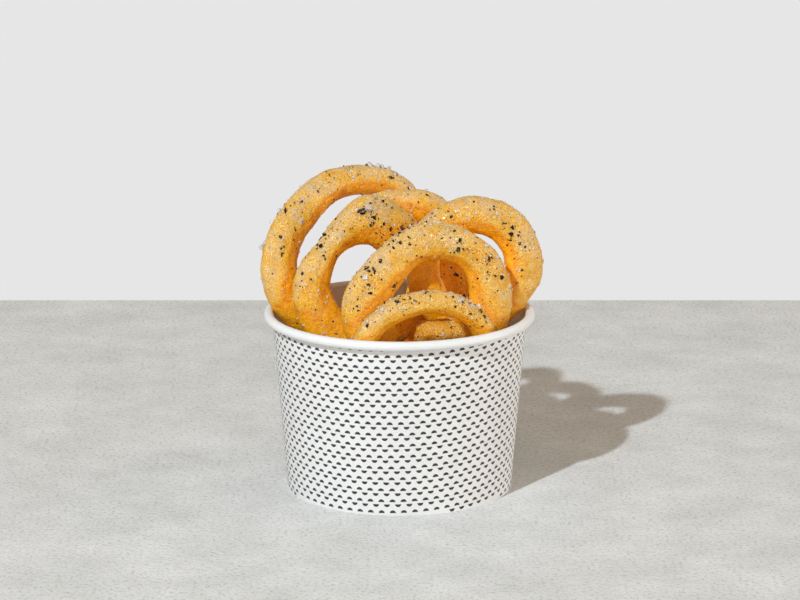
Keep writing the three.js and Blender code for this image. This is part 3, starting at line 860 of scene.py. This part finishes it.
def wall_piece(material):
    """Wall, rolled rim and folded foot in one sheet of board."""
    points = wall_points(wall_profile(), turn_steps())
    piece = paper_piece("paper_wall", points, material)
    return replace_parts(piece, "tub_wall")


def floor_profile():
    """Radius and height round the section of the floor and the skirt that hangs from its edge."""
    paper, joint, top = TUB["paper"], TUB["joint"], TUB["floor_top"]
    disc = wall_radius(top - paper) - paper - joint
    skirt_outer = TUB["base_radius"] - paper - joint
    skirt_inner = skirt_outer - paper
    foot = paper + joint
    middle = TUB["pinhole"]
    return np.array([
        (middle, top), (middle, top - paper), (skirt_inner, top - paper), (skirt_inner, foot),
        (skirt_outer, foot), (disc, top - paper), (disc, top),
    ])


def floor_piece(material):
    """Recessed floor disc with its skirt in the folded foot."""
    radius, height = floor_profile().T
    theta = full_turn(TUB["turns"], BACK)[:, None]
    points = around_tub(radius, height + 0 * theta, theta)
    piece = paper_piece("paper_floor", points, material)
    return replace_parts(piece, "tub_floor")


def on_wall(across, down, lift):
    """Points on the wall for places on the flat printed blank, measured from its top edge's middle."""
    radial = np.hypot(across, BLANK["apex"] - down)
    angle = np.arctan2(across, BLANK["apex"] - down)
    theta = angle / BLANK["sine"] + math.radians(BLANK["middle"])
    slope = math.hypot(1, wall_radius(1) - wall_radius(0))
    z = roll_centre()[1] - (BLANK["apex"] - radial) / slope
    return around_tub(wall_radius(z) + seam_height(theta) + lift, z, theta)


def half_dots():
    """Middle of each half dot on the blank, and 1 if its bow is up or -1 if it is down."""
    half_width = math.pi * BLANK["sine"]
    extra = PRINT["extra_pairs"]
    for pair in range(-extra, int(TUB["height"] / PRINT["period"]) + extra + 1):
        down = PRINT["first_row"] + pair * PRINT["period"]
        to_apex = BLANK["apex"] - down
        columns = int(to_apex * math.tan(half_width) / PRINT["pitch"]) + 1
        for side in (1, -1):
            for column in range(-columns, columns + 1):
                across = (column + (0.5 if side < 0 else 0)) * PRINT["pitch"]
                if abs(math.atan2(across, to_apex)) <= half_width - PRINT["end_bare"]:
                    yield across, down, side


def print_piece(material):
    """Rows of half dots in ink: each pair is a row with its bows up over one with its bows down."""
    count = PRINT["bow_points"]
    arc = np.linspace(0, np.pi, count)
    bow = np.stack([np.cos(arc), np.sin(arc)], axis=1) * PRINT["dot_radius"]
    top = roll_centre()[1] - PRINT["top_bare"]
    points, faces = [], []
    for across, down, side in half_dots():
        outline = across + bow[:, 0], down - side * (PRINT["gap"] / 2 + bow[:, 1])
        underside = on_wall(*outline, PRINT["underside"])
        if underside[:, 2].min() < PRINT["foot_bare"] or underside[:, 2].max() > top:
            continue
        inner = range(len(points) * count, (len(points) + 1) * count)
        outer = range(inner.stop, inner.stop + count)
        points += [underside, on_wall(*outline, PRINT["film"])]
        faces += [outer[::side], inner[::-side]]
        for i in range(count):
            j = (i + 1) % count
            faces.append((inner[i], inner[j], outer[j], outer[i])[::side])
    return make_piece("print_dots", np.vstack(points), faces, material, smooth=False)


# ---------------- pepper and salt

def line_of_sight(x, y):
    """Start and direction, in metres, of the line of sight through a pixel."""
    pitch = math.radians(CAMERA["pitch"])
    ahead = Vector((0, math.cos(pitch), -math.sin(pitch)))
    up = Vector((0, math.sin(pitch), math.cos(pitch)))
    side = Vector((1, 0, 0))
    right = (x - IMAGE["width"] / 2) / CAMERA["focal"]
    down = (y - IMAGE["height"] / 2) / CAMERA["focal"]
    return Vector(CAMERA["eye"]) * MM, (ahead + side * right - up * down).normalized()


def first_met(start, direction, carriers):
    """Place and normal where a straight line first meets a carrier, or None and None."""
    best = (math.inf, None, None)
    for carrier in carriers:
        hit, place, normal, _ = carrier.ray_cast(start, direction)
        if hit and (place - start).length < best[0]:
            best = ((place - start).length, place, normal)
    return best[1:]


def seen_at(x, y, carriers):
    """Place and normal on what shows at a pixel, or on its nearest edge close by."""
    start, direction = line_of_sight(x, y)
    place, normal = first_met(start, direction, carriers)
    if place is not None:
        return place, normal
    best = (EDGE_REACH * MM, None, None)
    for carrier in carriers:
        for depth in np.linspace(SIGHT["near"], SIGHT["far"], SIGHT["steps"]):
            probe = start + direction * depth
            hit, place, normal, _ = carrier.closest_point_on_mesh(probe)
            if hit and (place - probe).length < best[0]:
                best = ((place - probe).length, place, normal)
    return best[1:]


# A pepper chip starts as a shape of 20 triangles, and a salt chip as a cube.
GOLDEN = (1 + math.sqrt(5)) / 2
CHIP_POINTS = np.array([
    (-1, GOLDEN, 0), (1, GOLDEN, 0), (-1, -GOLDEN, 0), (1, -GOLDEN, 0),
    (0, -1, GOLDEN), (0, 1, GOLDEN), (0, -1, -GOLDEN), (0, 1, -GOLDEN),
    (GOLDEN, 0, -1), (GOLDEN, 0, 1), (-GOLDEN, 0, -1), (-GOLDEN, 0, 1),
]) / math.hypot(1, GOLDEN)
CHIP_FACES = [
    (0, 11, 5), (0, 5, 1), (0, 1, 7), (0, 7, 10), (0, 10, 11), (1, 5, 9), (5, 11, 4), (11, 10, 2),
    (10, 7, 6), (7, 1, 8), (3, 9, 4), (3, 4, 2), (3, 2, 6), (3, 6, 8), (3, 8, 9), (4, 9, 5),
    (2, 4, 11), (6, 2, 10), (8, 6, 7), (9, 8, 1),
]
CUBE_POINTS = np.array([*itertools.product((-1, 1), repeat=3)], float)
CUBE_FACES = [(0, 1, 3, 2), (4, 6, 7, 5), (0, 4, 5, 1), (2, 3, 7, 6), (0, 2, 6, 4), (1, 5, 7, 3)]


def seated(points, place, normal, random, tilt):
    """Points laid on a surface: spun at random about its normal, and tilted a little."""
    normal = (normal + Vector(random.uniform(-tilt, tilt, 3))).normalized()
    spin = Matrix.Rotation(random.uniform(0, CHIP_SPIN), 3, "Z")
    turn = normal.to_track_quat("Z", "Y").to_matrix() @ spin
    return points @ np.array(turn).T + np.array(place) / MM


def pepper_chip(length, random):
    """A flat angular flake of pepper."""
    width = length * random.uniform(*PEPPER_CHIP["width"])
    height = length * random.uniform(*PEPPER_CHIP["height"])
    uneven = random.uniform(*PEPPER_CHIP["uneven"], (len(CHIP_POINTS), 1))
    return CHIP_POINTS * uneven * np.array([length, width, height]) / 2


def salt_chip(length, random):
    """A worn salt cube."""
    size = length * random.uniform(SALT_CHIP["least"], SALT_CHIP["most"])
    uneven = random.uniform(-SALT_CHIP["uneven"], SALT_CHIP["uneven"], CUBE_POINTS.shape)
    return (CUBE_POINTS + uneven) * size / 2


class Scatter:
    """Many small chips of one kind, gathered into one mesh."""

    def __init__(self, make_chip, faces, seed):
        self.make_chip = make_chip
        self.chip_faces = np.array(faces)
        self.random = np.random.RandomState(seed)
        self.chips = []

    def drop(self, place, normal, length):
        """Lay one chip on the batter. Where there is no place, there is no chip."""
        if place is None:
            return
        chip = self.make_chip(length, self.random)
        middle = place + normal * length * CHIP_LIFT * MM
        self.chips.append(seated(chip, middle, normal, self.random, CHIP_TILT))

    def length_between(self, finest, coarsest):
        return finest + (coarsest - finest) * self.random.uniform() ** FINE_BIAS

    def piece(self, name, material):
        """All the chips as one piece."""
        count = len(self.chips[0])
        faces = np.vstack([self.chip_faces + count * i for i in range(len(self.chips))])
        return make_piece(name, np.vstack(self.chips), faces, material, smooth=False)


def season(scatter, places, carriers, scale, broken=False):
    """A grain at each pixel, with a few splinters close by if it is broken."""
    for x, y, length in places:
        scatter.drop(*seen_at(x, y, carriers), length * scale)
        for _ in range(int(length / SPLINTERS["each"]) if broken else 0):
            dx, dy = scatter.random.normal(0, SPLINTERS["spread"] * length, 2)
            place, normal = seen_at(x + dx, y + dy, carriers)
            scatter.drop(place, normal, length * scatter.random.uniform(*SPLINTERS["size"]))


def season_zones(scatter, zones, carriers, sizes):
    """Fine specks round the zones' middles, a few of them coarser."""
    for x, y, spread_out, count in zones:
        for _ in range(count):
            dx, dy = scatter.random.normal(0, spread_out, 2)
            length = scatter.length_between(*sizes)
            scatter.drop(*first_met(*line_of_sight(x + dx, y + dy), carriers), length)


def season_loosely(scatter, carriers, count, sizes):
    """Chips fall on the pile from above and a little from every side."""
    reach = FALL["reach"]
    for _ in range(count):
        x, y = scatter.random.uniform(-reach, reach, 2) * MM
        slant = Vector((*scatter.random.normal(0, FALL["slant"], 2), -1)).normalized()
        start = Vector((x, y, FALL["through"] * MM)) - slant * (FALL["back"] * MM)
        length = scatter.length_between(*sizes)
        place, normal = first_met(start, slant, carriers)
        if place is not None and place.z > FALL["lowest"] * MM:
            scatter.drop(place, normal, length)


# ---------------- stage

def make_table(material):
    """Table top that ends a little behind the tub."""
    reach, back = TABLE["reach"], TABLE["back_edge"]
    corners = [(-reach, -reach, 0), (reach, -reach, 0), (reach, back, 0), (-reach, back, 0)]
    table = make_object("table", corners, [(0, 1, 2, 3)], material, smooth=False)


def make_lamp(name, place, size, power, colour):
    """Square lamp that faces the upper part of the tub."""
    lamp = bpy.data.lights.new(name, "AREA")
    lamp.size = size * MM
    lamp.energy = power
    lamp.color = colour
    holder = bpy.data.objects.new(name, lamp)
    holder.location = Vector(place) * MM
    towards = Vector(LAMP_AIM) * MM - holder.location
    holder.rotation_euler = towards.to_track_quat("-Z", "Y").to_euler()
    bpy.context.scene.collection.objects.link(holder)


def make_surround():
    """Even warm light from above, and a pale surround that the camera sees beyond the table."""
    world = bpy.data.worlds.new("surround")
    world.use_nodes = True
    tree = world.node_tree
    place = tree.nodes.new("ShaderNodeTexCoord")
    split = tree.nodes.new("ShaderNodeSeparateXYZ")
    ramp = tree.nodes.new("ShaderNodeValToRGB")
    tree.links.new(place.outputs["Generated"], split.inputs[0])
    tree.links.new(split.outputs["Z"], ramp.inputs["Fac"])
    tree.links.new(ramp.outputs["Color"], tree.nodes["Background"].inputs["Color"])
    low, high = ramp.color_ramp.elements
    low.color = (*SURROUND["low"], 1)
    high.color = (*SURROUND["high"], 1)
    high.position = SURROUND["high_from"]
    bpy.context.scene.world = world


def make_camera():
    """Camera at the photograph's place and angle, and colours shown as they are."""
    camera = bpy.data.cameras.new("camera")
    camera.sensor_width = CAMERA["sensor"]
    camera.lens = CAMERA["sensor"] * CAMERA["focal"] / IMAGE["width"]
    camera.clip_end = CAMERA["sees_to"]
    holder = bpy.data.objects.new("camera", camera)
    holder.location = Vector(CAMERA["eye"]) * MM
    holder.rotation_euler = (math.radians(90 - CAMERA["pitch"]), 0, 0)
    bpy.context.scene.collection.objects.link(holder)
    bpy.context.scene.camera = holder
    bpy.context.scene.view_settings.view_transform = "Standard"


# ---------------- assembly

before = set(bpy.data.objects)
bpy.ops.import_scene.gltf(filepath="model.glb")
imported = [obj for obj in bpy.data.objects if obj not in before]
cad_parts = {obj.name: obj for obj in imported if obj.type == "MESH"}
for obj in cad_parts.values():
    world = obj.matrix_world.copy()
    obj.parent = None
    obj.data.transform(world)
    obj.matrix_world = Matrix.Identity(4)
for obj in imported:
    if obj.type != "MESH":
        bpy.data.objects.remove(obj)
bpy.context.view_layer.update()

make_camera()
for lamp in LAMPS:
    make_lamp(*lamp)
make_surround()
make_table(table_material())

board = board_material()
wall_piece(board)
floor_piece(board)
print_piece(ink_material())

batter = batter_material("batter", BATTER)
crumbly = batter_material("crumbly_batter", CRUMBLY_BATTER)
blockers = all_blockers()
crusts = [ring_piece(ring, batter, blockers) for ring in RINGS]
crusts.append(stub_piece(crumbly))
crusts.append(crumb_piece(crumbly))
bpy.context.view_layer.update()

pepper = Scatter(pepper_chip, CHIP_FACES, seed=5)
season(pepper, PEPPER_PLACES, crusts, GRAIN_SCALE["pepper"], broken=True)
season_zones(pepper, SPECK_ZONES, crusts, ZONE_SIZES)
season_loosely(pepper, crusts, **LOOSE_PEPPER)
pepper.piece("pepper", pepper_material())

salt = Scatter(salt_chip, CUBE_FACES, seed=6)
season(salt, SALT_PLACES, crusts, GRAIN_SCALE["salt"])
season_loosely(salt, crusts, **LOOSE_SALT)
salt.piece("salt", salt_material())
